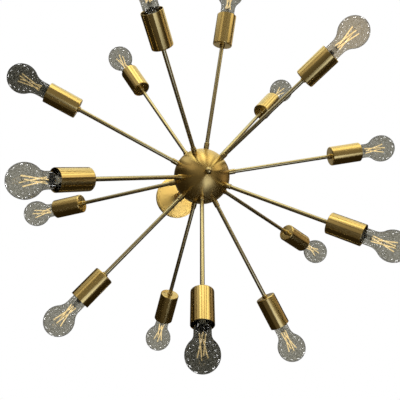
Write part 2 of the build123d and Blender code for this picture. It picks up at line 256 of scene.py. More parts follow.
def turning_group():
    """Turns a lathe piece's own map into a seamless place whose grain runs round the piece."""
    tree, n, given = new_tree(
        "turning_place",
        "ShaderNodeTree",
        [("Map", "Vector", None), ("Lines", "Float", 9.0), ("Round", "Float", 0.6)],
        [("Place", "Vector")],
    )
    parts = n.add("ShaderNodeSeparateXYZ", {"Vector": given["Map"]}).outputs
    angle = n.math("MULTIPLY", parts[0], 2 * math.pi)
    along = n.math("MULTIPLY", parts[1], given["Lines"])
    n.add("NodeGroupOutput", {"Place": n.polar(angle, given["Round"], along)})
    return tree


def spun_group():
    """The same for a piece spun about the light's upright axis, from its place in the body."""
    tree, n, given = new_tree(
        "spun_place",
        "ShaderNodeTree",
        [("Body", "Vector", None), ("Lines", "Float", 900.0), ("Round", "Float", 0.6)],
        [("Place", "Vector")],
    )
    parts = n.add("ShaderNodeSeparateXYZ", {"Vector": given["Body"]}).outputs
    angle = n.math("ARCTAN2", parts[1], parts[0])
    squares = n.math("ADD", n.math("POWER", parts[0], 2), n.math("POWER", parts[1], 2))
    along = n.math("SUBTRACT", n.math("SQRT", squares), parts[2])
    along = n.math("MULTIPLY", along, given["Lines"])
    n.add("NodeGroupOutput", {"Place": n.polar(angle, given["Round"], along)})
    return tree


brushed = brushed_group()
turning = turning_group()
spun = spun_group()


# ---- finishes ------------------------------------------------------------------------------------
brass_bright = (0.79, 0.58, 0.22, 1)
brass_aged = (0.60, 0.42, 0.14, 1)
groove_strength = 0.0015
groove_depth = 0.0002
ripple_depth = 0.001
plain_grain = (600, 600, 90)


def new_material(name):
    material = bpy.data.materials.new(name)
    material.use_nodes = True
    shader = material.node_tree.nodes["Principled BSDF"]
    return material, Nodes(material.node_tree), shader


def dimmed(colour, share):
    return tuple(channel * share for channel in colour[:3]) + (1,)


def brass(name, roughness, grain="turned", stretch=1.0, age=0.05, bright=brass_bright):
    """Satin brass, its grain turned on the piece's map, spun about the upright axis, or plain."""
    material, n, shader = new_material(name)
    body = n.body()
    tangent = None
    if grain == "turned":
        uv = n.add("ShaderNodeUVMap", uv_map="turning").outputs[0]
        place = n.add("ShaderNodeGroup", {"Map": uv}, node_tree=turning).outputs[0]
        tangent = n.add("ShaderNodeTangent", direction_type="UV_MAP", uv_map="turning")
    elif grain == "spun":
        place = n.add("ShaderNodeGroup", {"Body": body}, node_tree=spun).outputs[0]
        tangent = n.add("ShaderNodeTangent", direction_type="RADIAL", axis="Z")
    else:
        place = n.add("ShaderNodeMapping", {"Vector": body, "Scale": plain_grain}).outputs[0]
    look = {
        "Place": place,
        "Body": body,
        "Bright": bright,
        "Aged": brass_aged,
        "Roughness": roughness,
        "Age": age,
    }
    metal = n.add("ShaderNodeGroup", look, node_tree=brushed).outputs
    made = {
        "Base Color": metal["Color"],
        "Roughness": metal["Roughness"],
        "Metallic": 1.0,
        "Normal": n.bump(metal["Height"], groove_strength, groove_depth),
    }
    if tangent:
        made["Anisotropic"] = stretch
        made["Anisotropic Rotation"] = 0.25
        made["Tangent"] = tangent.outputs[0]
    n.fill(shader, made)
    return material


def plain_metal(name, colour, roughness, mottle=0.15):
    """Zinc plate, nickel and solder: a grey metal with a faint crystalline mottle."""
    material, n, shader = new_material(name)
    body = n.body()
    darker = dimmed(colour, 1 - mottle * 2)
    smudge = n.math("MULTIPLY", n.noise(body, 160.0), 0.2)
    made = {
        "Base Color": n.blend(n.cells(body, 700.0)["Color"], colour, darker),
        "Roughness": n.math("ADD", smudge, roughness - 0.1),
        "Metallic": 1.0,
    }
    n.fill(shader, made)
    return material


def holder_plastic():
    """Moulded black holder: a fine, slightly uneven surface."""
    material, n, shader = new_material("holder_black")
    grain = n.noise(n.body(), 900.0, Detail=3.0)
    made = {
        "Base Color": n.blend(grain, (0.012, 0.011, 0.01, 1), (0.03, 0.028, 0.025, 1)),
        "Roughness": n.math("ADD", n.math("MULTIPLY", grain, 0.2), 0.35),
        "Specular IOR Level": 0.2,
        "Normal": n.bump(grain, 0.15, groove_depth),
    }
    n.fill(shader, made)
    return material


def smoky_glass(name, tint, waviness, fleck=0.6):
    """Blown glass, smoky, with ripples and pale flecks, and painted shade that darkens it where it
    is seen edge on.
    """
    material, n, shader = new_material(name)
    body = n.body()
    pits = n.math("MULTIPLY", n.remap(n.cells(body, 260.0)["Distance"], 0.0, 0.32), 0.35)
    height = n.math("ADD", n.noise(body, 60.0), pits)
    flecks = n.remap(n.noise(body, 420.0), 0.48, 0.68, fleck)
    # Painted shade: the tint darkens towards the rim, where the glass is seen edge on.
    rim = n.add("ShaderNodeLayerWeight", {"Blend": 0.35}).outputs["Facing"]
    shaded = n.blend(n.math("POWER", rim, 2.5), tint, dimmed(tint, 0.3))
    made = {
        "Base Color": n.blend(flecks, shaded, (0.9, 0.9, 0.88, 1)),
        "Roughness": 0.0,
        "IOR": 1.52,
        "Transmission Weight": 1.0,
        "Normal": n.bump(height, waviness, ripple_depth),
    }
    n.fill(shader, made)
    return material


def filament_phosphor():
    """Yellow phosphor over a row of small chips, which shows as a faint beading along the stick,
    with a painted glow.
    """
    material, n, shader = new_material("filament_phosphor")
    uv = n.add("ShaderNodeUVMap", uv_map="turning").outputs[0]
    along = n.add("ShaderNodeSeparateXYZ", {"Vector": uv}).outputs[1]
    beads = n.math("SINE", n.math("MULTIPLY", along, 260.0))
    share = n.math("ADD", n.math("MULTIPLY", beads, 0.5), 0.5)
    colour = n.blend(share, (1.0, 0.74, 0.36, 1), (1.0, 0.82, 0.48, 1))
    made = {
        "Base Color": colour,
        # Painted light: the phosphor glows, so that the sticks stay bright behind the smoky glass.
        "Emission Color": colour,
        "Emission Strength": 1.7,
        "Roughness": 0.5,
    }
    n.fill(shader, made)
    return material


cup_brass = brass("cup_brass", roughness=0.19)
rod_brass = brass("rod_brass", roughness=0.17, bright=(0.62, 0.53, 0.3, 1))
collar_brass = brass("collar_brass", roughness=0.22, stretch=0.5, bright=(0.62, 0.49, 0.23, 1))
hub_brass = brass("hub_brass", roughness=0.24, grain="spun", bright=(0.78, 0.55, 0.19, 1))
# Painted light: the canopy's brass is paler and brighter than the other brass, for the light on its
# face.
canopy_lit_colour = (1.0, 0.8, 0.34, 1)
canopy_brass = brass("canopy_brass", roughness=0.55, grain="spun", age=0.1, bright=canopy_lit_colour)
fitting_brass = brass("fitting_brass", roughness=0.25, grain="plain", age=0.5)
# Painted shade: the swivel knuckle and the ball nuts get a near-black brown brass, for the shade
# they sit in by the canopy.
knuckle_shaded_colour = (0.24, 0.16, 0.07, 1)
dark_brass = brass("dark_brass", roughness=0.35, grain="plain", age=0.4, bright=knuckle_shaded_colour)
zinc = plain_metal("zinc_plate", (0.62, 0.62, 0.6, 1), roughness=0.35)
# Painted shade: the lamp's nickel parts get a dark grey, for the shade inside the cup's mouth where
# the base sits.
nickel = plain_metal("lamp_nickel", (0.22, 0.215, 0.2, 1), roughness=0.3, mottle=0.06)
solder = plain_metal("lamp_solder", (0.55, 0.55, 0.53, 1), roughness=0.45, mottle=0.2)
holder_black = holder_plastic()
glass_grey = smoky_glass("lamp_glass_grey", (0.43, 0.42, 0.37, 1), waviness=0.26)
glass_dark = smoky_glass("lamp_glass_dark", (0.19, 0.185, 0.155, 1), waviness=0.35, fleck=0.35)
glass_warm = smoky_glass("lamp_glass_warm", (0.58, 0.53, 0.44, 1), waviness=0.26)
glass_of = {("middle", 1): glass_dark, ("lower", 5): glass_dark, ("lower", 3): glass_warm}
stem_glass = smoky_glass("lamp_stem_glass", (0.62, 0.62, 0.6, 1), waviness=0.3, fleck=0.2)
phosphor = filament_phosphor()


# ---- mesh helpers --------------------------------------------------------------------------------
corner_steps = 3
least_turn = math.radians(20)
least_reach = 1e-4
share_of_side = 0.45
on_axis = 1e-6
sharp_above = math.radians(32)


def arc(centre, radius, start, end, steps):
    """Points of an arc in the half plane, angles in degrees from the outward direction."""
    points = []
    for step in range(steps + 1):
        angle = math.radians(start + (end - start) * step / steps)
        points.append((centre[0] + radius * math.cos(angle), centre[1] + radius * math.sin(angle)))
    return points


def polar(angle, radius, height):
    return (radius * math.cos(math.radians(angle)), radius * math.sin(math.radians(angle)), height)


def softened(outline, radius):
    """Rounds the corners of a closed outline, so that each edge catches the light."""
    points = [Vector(point) for point in outline]
    made = []
    for index, corner in enumerate(points):
        before = points[index - 1] - corner
        after = points[(index + 1) % len(points)] - corner
        turn = math.pi - before.angle(after)
        longest = min(before.length * share_of_side, after.length * share_of_side)
        reach = min(radius * math.tan(turn / 2), longest)
        if turn < least_turn or reach < least_reach:
            made.append(tuple(corner))
            continue
        first = corner + before.normalized() * reach
        last = corner + after.normalized() * reach
        for step in range(corner_steps + 1):
            t = step / corner_steps
            made.append(tuple(first * (1 - t) ** 2 + corner * 2 * t * (1 - t) + last * t**2))
    return made


def linked(name, data):
    """A new object of the scene."""
    piece = bpy.data.objects.new(name, data)
    bpy.context.scene.collection.objects.link(piece)
    return piece


def smooth_with_edges(mesh):
    mesh.shade_smooth()
    mesh.set_sharp_from_angle(angle=sharp_above)


def lathe(name, outline, material, sides, closed=False, place=Matrix.Identity(4)):
    """Spins an outline of (radius, height) in millimetres about Z. Its map runs round it."""
    shell = bmesh.new()
    uv_layer = shell.loops.layers.uv.new("turning")
    line = outline + outline[:1] if closed else outline
    run = [0.0]
    for first, second in zip(line, line[1:]):
        run.append(run[-1] + math.dist(first, second))
    turns = [2 * math.pi * side / sides for side in range(sides)]
    rows = []
    for radius, height in outline:
        if radius < on_axis:
            rows.append([shell.verts.new((0, 0, height * MM))] * sides)
            continue
        reach = radius * MM
        places = [(reach * math.cos(turn), reach * math.sin(turn), height * MM) for turn in turns]
        rows.append([shell.verts.new(spot) for spot in places])
    for index in range(len(line) - 1):
        row, following = rows[index], rows[(index + 1) % len(rows)]
        for side in range(sides):
            beside = (side + 1) % sides
            corners = (
                (row[side], side, run[index]),
                (row[beside], side + 1, run[index]),
                (following[beside], side + 1, run[index + 1]),
                (following[side], side, run[index + 1]),
            )
            kept = {}
            for corner, turn, along in corners:
                kept.setdefault(corner, (turn / sides, along))
            face = shell.faces.new(list(kept))
            for loop, uv in zip(face.loops, kept.values()):
                loop[uv_layer].uv = uv
    bmesh.ops.recalc_face_normals(shell, faces=shell.faces)
    mesh = bpy.data.meshes.new(name)
    shell.to_mesh(mesh)
    shell.free()
    mesh.transform(place)
    smooth_with_edges(mesh)
    mesh.materials.append(material)
    return linked(name, mesh)


def turned(name, outline, material, sides, soft):
    """A piece with a hole along its axis and edges rounded to the soft radius."""
    return lathe(name, softened(outline, soft), material, sides, closed=True)


def plain_mesh(piece):
    """The mesh that a curve or a geometry tree comes to."""
    bpy.context.view_layer.update()
    evaluated = piece.evaluated_get(bpy.context.evaluated_depsgraph_get())
    return bpy.data.meshes.new_from_object(evaluated)


def keep_as(piece, body, slot, *nodes):
    """Attaches a piece to the body it moves with and hides the CAD nodes that it stands for. The
    finish that it is given is not used.
    """
    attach(piece, body)
    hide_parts(*nodes)


def raised(height):
    return Matrix.Translation((0, 0, height * MM))


def arm_aim(ring, number):
    return Vector(joint_named[f"{ring}_lamp_{number}_out"]["axis"]).normalized()


def arm_place(ring, number, distance):
    """Puts a piece made along +Z at a distance out along its arm."""
    aim = arm_aim(ring, number)
    azimuth = math.atan2(aim.y, aim.x)
    pitch = math.asin(aim.z)
    turn = Matrix.Rotation(azimuth, 4, "Z") @ Matrix.Rotation(math.pi / 2 - pitch, 4, "Y")
    return raised(hub_z) @ turn @ raised(distance)


# ---- geometry node trees -------------------------------------------------------------------------
thread_steps_per_turn = 40
thread_sides = 8


def geometry_tree(name, inputs):
    """A tree that takes a geometry and named inputs and gives a geometry."""
    inputs = [("Geometry", "Geometry", None)] + inputs + [("Finish", "Material", None)]
    return new_tree(name, "GeometryNodeTree", inputs, [("Geometry", "Geometry")])


def set_out(n, points, source, aim):
    """Copies of a pattern piece on points, each turned to its aim."""
    pattern = n.add("GeometryNodeObjectInfo", {"Object": source}, transform_space="ORIGINAL")
    turn = n.add("FunctionNodeAlignRotationToVector", {"Vector": aim}, axis="Z").outputs[0]
    sockets = {"Points": points, "Instance": pattern.outputs["Geometry"], "Rotation": turn}
    return n.add("GeometryNodeInstanceOnPoints", sockets).outputs[0]


def hand_out(n, shape, finish):
    """Makes a tree's shape real, gives it its finish and puts it out."""
    real = n.add("GeometryNodeRealizeInstances", {"Geometry": shape}).outputs[0]
    painted = n.add("GeometryNodeSetMaterial", {"Geometry": real, "Material": finish}).outputs[0]
    n.add("NodeGroupOutput", {"Geometry": painted})


def arm_row_tree():
    """Sets one copy of a turned piece on every aim point, pointing out along its arm."""
    inputs = [("Piece", "Object", None), ("Distance", "Float", 0.1)]
    tree, n, given = geometry_tree("one_on_every_arm", inputs)
    aim = n.add("GeometryNodeInputNamedAttribute", {"Name": "aim"}, data_type="FLOAT_VECTOR")
    aim = aim.outputs["Attribute"]
    sockets = {0: aim, "Scale": given["Distance"]}
    shift = n.add("ShaderNodeVectorMath", sockets, operation="SCALE").outputs[0]
    sockets = {"Geometry": given["Geometry"], "Offset": shift}
    points = n.add("GeometryNodeSetPosition", sockets).outputs[0]
    hand_out(n, set_out(n, points, given["Piece"], aim), given["Finish"])
    return tree


def leaning_sticks_tree():
    """Stands sticks in a ring, each leaning outwards and round towards the next one's place."""
    inputs = [
        ("Stick", "Object", None),
        ("Count", "Int", 4),
        ("Foot Radius", "Float", 0.003),
        ("Head Radius", "Float", 0.01),
        ("Twist", "Float", 1.0),
        ("Rise", "Float", 0.04),
    ]
    tree, n, given = geometry_tree("leaning_sticks", inputs)
    index = n.add("GeometryNodeInputIndex").outputs[0]
    angle = n.math("DIVIDE", n.math("MULTIPLY", index, 2 * math.pi), given["Count"])
    foot = n.polar(angle, given["Foot Radius"])
    head = n.polar(n.math("ADD", angle, given["Twist"]), given["Head Radius"], given["Rise"])
    lean = n.add("ShaderNodeVectorMath", {0: head, 1: foot}, operation="SUBTRACT").outputs[0]
    points = n.add("GeometryNodePoints", {"Count": given["Count"]}).outputs[0]
    points = n.add("GeometryNodeSetPosition", {"Geometry": points, "Position": foot}).outputs[0]
    hand_out(n, set_out(n, points, given["Stick"], lean), given["Finish"])
    return tree


def screw_thread_tree():
    """A rounded ridge that winds up a lamp's base."""
    inputs = [
        ("Radius", "Float", 0.013),
        ("Turns", "Float", 4.0),
        ("Height", "Float", 0.014),
        ("Ridge", "Float", 0.0008),
    ]
    tree, n, given = geometry_tree("screw_thread", inputs)
    winding = {
        "Resolution": thread_steps_per_turn,
        "Rotations": given["Turns"],
        "Start Radius": given["Radius"],
        "End Radius": given["Radius"],
        "Height": given["Height"],
    }
    path = n.add("GeometryNodeCurveSpiral", winding).outputs[0]
    ring = {"Resolution": thread_sides, "Radius": given["Ridge"]}
    section = n.add("GeometryNodeCurvePrimitiveCircle", ring).outputs[0]
    sockets = {"Curve": path, "Profile Curve": section, "Fill Caps": True}
    ridge = n.add("GeometryNodeCurveToMesh", sockets).outputs[0]
    smooth = n.add("GeometryNodeSetShadeSmooth", {"Geometry": ridge}).outputs[0]
    hand_out(n, smooth, given["Finish"])
    return tree


arm_row = arm_row_tree()
leaning_sticks = leaning_sticks_tree()
screw_thread = screw_thread_tree()
nothing = bpy.data.meshes.new("nothing")


def grown(name, tree, base_mesh, values, place=Matrix.Identity(4)):
    """Runs a geometry tree over a base mesh and keeps the result as a plain mesh."""
    carrier = linked(name + "_carrier", base_mesh)
    modifier = carrier.modifiers.new("grow", "NODES")
    modifier.node_group = tree
    for socket in tree.interface.items_tree:
        if socket.in_out == "INPUT" and socket.name in values:
            modifier[socket.identifier] = values[socket.name]
    mesh = plain_mesh(carrier)
    mesh.name = name
    carrier.modifiers.clear()
    bpy.data.objects.remove(carrier)
    mesh.transform(place)
    return linked(name, mesh)


def aim_points(names):
    """A mesh with one point at the hub's centre for each arm, and each arm's aim on it."""
    mesh = bpy.data.meshes.new("aims")
    mesh.from_pydata([(0, 0, hub_z * MM)] * len(names), [], [])
    aims = mesh.attributes.new("aim", "FLOAT_VECTOR", "POINT")
    for point, (ring, number) in zip(aims.data, names):
        point.vector = arm_aim(ring, number)
    return mesh


def on_arms(name, pattern, names, distance):
    """Copies a turned pattern piece onto the named arms and throws the pattern away."""
    values = {
        "Piece": pattern,
        "Distance": distance * MM,
        "Finish": pattern.data.materials[0],
    }
    piece = grown(name, arm_row, aim_points(names), values)
    smooth_with_edges(piece.data)
    bpy.data.objects.remove(pattern)
    return piece


# ---- arms ----------------------------------------------------------------------------------------
def rod_pattern():
    length = rod_end - rod_start
    inner_r = rod_r - rod_wall
    outline = [(inner_r, 0), (rod_r, 0), (rod_r, length), (inner_r, length)]
    return turned("rod_pattern", outline, rod_brass, sides=32, soft=0.2)


def collar_pattern():
    """A short round nut with a fine groove near its outer end."""
    length = collar_end - collar_foot
    groove = length * 0.72
    outline = [
        (rod_hole_r, 0),
        (collar_r, 0),
        (collar_r, groove - collar_groove),
        (collar_r - collar_groove, groove),
        (collar_r, groove + collar_groove),
        (collar_r, length - collar_bevel),
        (collar_r - collar_bevel, length),
        (rod_hole_r, length),
    ]
    return turned("collar_pattern", outline, collar_brass, sides=40, soft=0.25)


def ferrule_pattern():
    length = ferrule_length - ferrule_gap
    outline = [
        (rod_hole_r, 0),
        (ferrule_r - ferrule_bevel, 0),
        (ferrule_r, ferrule_bevel),
        (ferrule_r, length),
        (rod_hole_r, length),
    ]
    return turned("ferrule_pattern", outline, collar_brass, sides=40, soft=0.3)


def holder_pattern():
    """The moulded holder: a rear boss, a body with a groove near its mouth, and a stepped bore."""
    outline = [
        (rod_way_r, holder_foot),
        (holder_boss_r, holder_foot),
        (holder_boss_r, holder_shoulder - holder_step),
        (holder_r, holder_shoulder),
        (holder_r, holder_mouth - 5.0),
        (holder_r - holder_groove, holder_mouth - 4.2),
        (holder_r - holder_groove, holder_mouth - 2.6),
        (holder_r, holder_mouth - 1.8),
        (holder_r - 1.2, holder_mouth),
        (holder_bore_r + 0.8, holder_mouth),
        (holder_bore_r, holder_mouth - 0.8),
        (holder_bore_r, holder_floor + holder_step),
        (holder_floor_r, holder_floor + holder_step),
        (holder_floor_r, holder_floor),
        (rod_way_r, holder_floor),
    ]
    return turned("holder_pattern", outline, holder_black, sides=64, soft=0.35)


def cup_outline():
    """From the hole in the base, round the outside to the mouth and back down the inside."""
    edge = cup_edge_r
    inner_edge = cup_edge_r - cup_wall
    inner_r = cup_r - cup_wall
    outside = arc((cup_r - edge, edge), edge, -90, 0, 8)
    inside = arc((inner_r - inner_edge, cup_wall + inner_edge), inner_edge, 0, -90, 6)
    mouth = [
        (cup_r, cup_length - cup_lip_height),
        (cup_r - cup_lip_width, cup_length),
        (inner_r + cup_lip_width, cup_length),
        (inner_r, cup_length - cup_lip_height),
    ]
    return [(rod_way_r, 0)] + outside + mouth + inside + [(rod_way_r, cup_wall)]


def make_arms():
    for ring in rings:
        names = [arm for arm in arms if arm[0] == ring]
        rods = on_arms(f"{ring}_rods", rod_pattern(), names, rod_start)
        keep_as(rods, "chandelier", "brass", f"{ring}_arm_rods")
    collars = on_arms("collars", collar_pattern(), arms, collar_foot)
    keep_as(collars, "chandelier", "brass", "arm_collars")
    ferrules = on_arms("ferrules", ferrule_pattern(), arms, cup_start - ferrule_length)
    keep_as(ferrules, "chandelier", "brass", "cup_ferrules")
    holders = on_arms("holders", holder_pattern(), arms, cup_start)
    keep_as(holders, "chandelier", "holder", "lampholders")
    outline = cup_outline()
    for ring, number in arms:
        place = arm_place(ring, number, cup_start)
        name = f"{ring}_brass_cup_{number}"
        cup = lathe(name, outline, cup_brass, cup_sides, closed=True, place=place)
        keep_as(cup, "chandelier", "brass", f"{ring}_cup_{number}")


# ---- lamps ---------------------------------------------------------------------------------------
def envelope_side(inset):
    """Half outline of the glass from its tip down to the neck: globe, hollow curve, neck."""
    globe = globe_r - inset
    hollow = shoulder_r + inset
    hollow_x = neck_r + shoulder_r
    drop = math.sqrt((globe_r + shoulder_r) ** 2 - hollow_x**2)
    lean = math.degrees(math.atan2(-drop, hollow_x))
    crown = arc((0, globe_z), globe, 90, lean, globe_steps)
    crown[0] = (0, globe_z + globe)
    waist = arc((hollow_x, globe_z - drop), hollow, lean + 180, 180, globe_steps // 3)
    return crown + waist[1:]


def glass_outline():
    taper = neck_foot_z + neck_taper
    foot = [
        (neck_r, taper),
        (neck_foot_r, neck_foot_z + 0.4),
        (neck_foot_r - 0.3, neck_foot_z),
        (neck_foot_r - glass_wall, neck_foot_z + 0.2),
        (neck_r - glass_wall, taper),
    ]
    return envelope_side(0) + foot + envelope_side(glass_wall)[::-1]


# The flared and pressed glass stem with its central rod, and the three parts of the base.
mount_outline = [
    (0, mount_foot),
    (mount_flare_r, mount_foot),
    (mount_flare_r, mount_foot + 0.6),
    (mount_flare_r - 3.4, mount_foot + 2.2),
    (mount_flare_r - 6.0, mount_foot + 5.0),
    (mount_stem_r + 0.4, mount_foot + 9.0),
    (mount_stem_r, mount_foot + 13.0),
    (mount_stem_r + 0.5, mount_top - 4.0),
    (mount_stem_r - 0.6, mount_top - 1.0),
    (mount_rod_r + 0.4, mount_top + 0.6),
    (mount_rod_r, mount_top + 4.0),
    (mount_rod_r, mount_top + stick_rise - 1.0),
    (0, mount_top + stick_rise),
]
contact_outline = [
    (0, contact_z),
    (contact_r - 1.2, contact_z),
    (contact_r, contact_z + 0.8),
    (contact_r, contact_top),
    (0, contact_top),
]
insulator_outline = [
    (0, contact_top),
    (contact_r + 1.2, contact_top),
    (screw_end_r, screw_foot - 1.0),
    (screw_end_r, screw_foot),
    (0, screw_foot),
]
shell_outline = [
    (screw_end_r, screw_foot - 0.6),
    (screw_core_r, screw_foot - 0.2),
    (screw_core_r, screw_top - 1.6),
    (screw_r, screw_top - 1.0),
    (screw_r, screw_top),
    (screw_end_r, screw_top),
]


def stick_pattern(length):
    outline = [
        (0, 0),
        (stick_r * stick_taper, 0),
        (stick_r, stick_end),
        (stick_r, length - stick_end),
        (stick_r * stick_taper, length),
        (0, length),
    ]
    return lathe("stick_pattern", outline, phosphor, sides=12)


def wire(name, points):
    """A bent support wire through a few points, as a plain tube."""
    curve = bpy.data.curves.new(name, "CURVE")
    curve.dimensions = "3D"
    curve.bevel_depth = wire_r * MM
    curve.bevel_resolution = 2
    curve.use_fill_caps = True
    spline = curve.splines.new("POLY")
    spline.points.add(len(points) - 1)
    for target, (x, y, z) in zip(spline.points, points):
        target.co = (x * MM, y * MM, z * MM, 1)
    source = linked(name, curve)
    mesh = plain_mesh(source)
    bpy.data.objects.remove(source)
    return mesh


def support_wires():
    """Leads up out of the stem to each stick's foot, and a spider from the rod to the heads."""
    top = mount_top
    peak = mount_top + stick_rise
    meshes = []
    for index in range(stick_count):
        turn = index * 360 / stick_count
        head = turn + stick_twist
        lead = [
            polar(turn, 1.6, top - 3),
            polar(turn, 1.9, top - 0.5),
            polar(turn, stick_foot_r, top + 0.4),
        ]
        spider = [
            (0, 0, peak - 1.2),
            polar(head, stick_head_r * 0.5, peak - 0.2),
            polar(head, stick_head_r, peak - 0.6),
        ]
        meshes += [wire("lead", lead), wire("spider", spider)]
    return meshes


def joined(name, meshes, material, place):
    """One piece from several loose meshes."""
    shell = bmesh.new()
    for mesh in meshes:
        shell.from_mesh(mesh)
    whole = bpy.data.meshes.new(name)
    shell.to_mesh(whole)
    shell.free()
    whole.transform(place)
    whole.shade_smooth()
    whole.materials.clear()
    whole.materials.append(material)
    return linked(name, whole)


# The small studio lamps light the glass and nothing else; the dome's glow is kept off the glass, so
# that its rim stays dark. The area lamps light all but the floor.
glass_only = bpy.data.collections.new("glass_only")
all_but_glass = bpy.data.collections.new("all_but_glass")
all_but_floor = bpy.data.collections.new("all_but_floor")


def leave_out(collection, piece):
    """Keeps a piece out of the light that goes by this collection."""
    collection.objects.link(piece)
    collection.collection_objects[-1].light_linking.link_state = "EXCLUDE"


def make_lamps():
    glass_line = glass_outline()
    wires = support_wires()
    stick_foot = Vector(polar(0, stick_foot_r, 0))
    stick_head = Vector(polar(stick_twist, stick_head_r, stick_rise))
    thread_values = {
        "Radius": screw_core_r * MM,
        "Turns": thread_height / thread_pitch,
        "Height": thread_height * MM,
        "Ridge": thread_depth * MM,
        "Finish": nickel,
    }
    stick = stick_pattern((stick_head - stick_foot).length)
    stick_values = {
        "Stick": stick,
        "Count": stick_count,
        "Foot Radius": stick_foot_r * MM,
        "Head Radius": stick_head_r * MM,
        "Twist": math.radians(stick_twist),
        "Rise": stick_rise * MM,
        "Finish": phosphor,
    }
    for ring, number in arms:
        place = arm_place(ring, number, cup_start)
        thread_place = place @ raised(thread_foot)
        stick_place = place @ raised(mount_top)
        glass = glass_of.get((ring, number), glass_grey)
        envelope = lathe(f"{ring}_glass_{number}", glass_line, glass, globe_sides, place=place)
        glass_only.objects.link(envelope)
        leave_out(all_but_glass, envelope)
        pieces = [envelope]
        for label, outline, finish, sides in (
            ("glass_stem", mount_outline, stem_glass, 40),
            ("contact", contact_outline, solder, 32),
            ("insulator", insulator_outline, holder_black, 48),
            ("screw_shell", shell_outline, nickel, 64),
        ):
            pieces.append(lathe(f"{ring}_{label}_{number}", outline, finish, sides, place=place))
        for label, tree, values, spot in (
            ("screw_thread", screw_thread, thread_values, thread_place),
            ("filaments", leaning_sticks, stick_values, stick_place),
        ):
            pieces.append(grown(f"{ring}_{label}_{number}", tree, nothing, values, spot))
        pieces.append(joined(f"{ring}_wires_{number}", wires, nickel, place))
        for piece in pieces:
            keep_as(piece, f"{ring}_lamp_{number}", "lamp", f"{ring}_bulb_{number}")
    bpy.data.objects.remove(stick)


# ---- hub, stem and canopy ------------------------------------------------------------------------
def make_finial():
    """The ball under the hub and its short collar."""
    ball_z = hub_foot - finial_neck - finial_r
    neck_top = hub_foot + finial_sunk
    meet = math.asin(finial_neck_r / finial_r)
    neck_foot = ball_z + finial_r * math.cos(meet)
    outline = [(0, neck_top), (finial_neck_r, neck_top), (finial_neck_r, neck_foot)]
    outline += arc((0, ball_z), finial_r, 90 - math.degrees(meet), -90, 28)[1:-1]
    outline += [(0, ball_z - finial_r)]
    ball = lathe("finial_ball", outline, collar_brass, sides=72)
    keep_as(ball, "chandelier", "brass", "finial")


def dress_cad_nodes():
    """The CAD nodes whose shape is right keep it and get their finish."""
    finishes = {
        hub_brass: ("hub_upper_shell", "hub_lower_shell"),
        canopy_brass: ("canopy",),
        fitting_brass: ("swivel_washer", "hub_coupler", "stem"),
        dark_brass: ("swivel_yoke", "swivel_screw", "swivel_tongue", "ball_nuts"),
        zinc: (
            "crossbar",
            "canopy_studs",
            "ground_screw",
            "swivel_lock_nut",
            "hub_rod",
            "hub_rod_nut",
            "arm_nuts",
            "cup_nuts",
        ),
    }
    for material, names in finishes.items():
        for name in names:
            piece = frame["nodes"][name]
            piece.data.materials.clear()
            piece.data.materials.append(material)


# ---- camera and floor ----------------------------------------------------------------------------
camera_at = Vector((259.0, 110.0, -1454.0)) * MM
camera_aim = Vector((48.6, -19.3, -380.0)) * MM
up_azimuth = math.radians(153.95)
lens = 45.56
hub_centre = Vector((0, 0, hub_z * MM))
forward = (camera_aim - camera_at).normalized()
picture_right = forward.cross(Vector((math.cos(up_azimuth), math.sin(up_azimuth), 0))).normalized()
picture_up = picture_right.cross(forward)
floor_z = -2.4
floor_half = 9.0


def make_camera():
    data = bpy.data.cameras.new("camera")
    data.lens = lens
    data.sensor_width = 36.0
    data.clip_start = 0.01
    data.clip_end = 100.0
    camera = linked("camera", data)
    turn = Matrix((picture_right, picture_up, -forward)).transposed()
    camera.matrix_world = Matrix.Translation(camera_at) @ turn.to_4x4()
    bpy.context.scene.camera = camera


def make_floor():
    """A plain floor, lit by the room alone, so that no lamp close to it leaves a patch."""
    mesh = bpy.data.meshes.new("floor")
    signs = ((-1, -1), (1, -1), (1, 1), (-1, 1))
    corners = [(x * floor_half, y * floor_half, floor_z) for x, y in signs]
    mesh.from_pydata(corners, [], [(0, 1, 2, 3)])
    floor = linked("floor", mesh)
    material, n, shader = new_material("floor_paint")
    paint = n.blend(n.noise(n.body(), 3.0), (0.9, 0.9, 0.89, 1), (0.94, 0.94, 0.93, 1))
    n.fill(shader, {"Base Color": paint, "Roughness": 0.7})
    mesh.materials.append(material)
    leave_out(all_but_floor, floor)


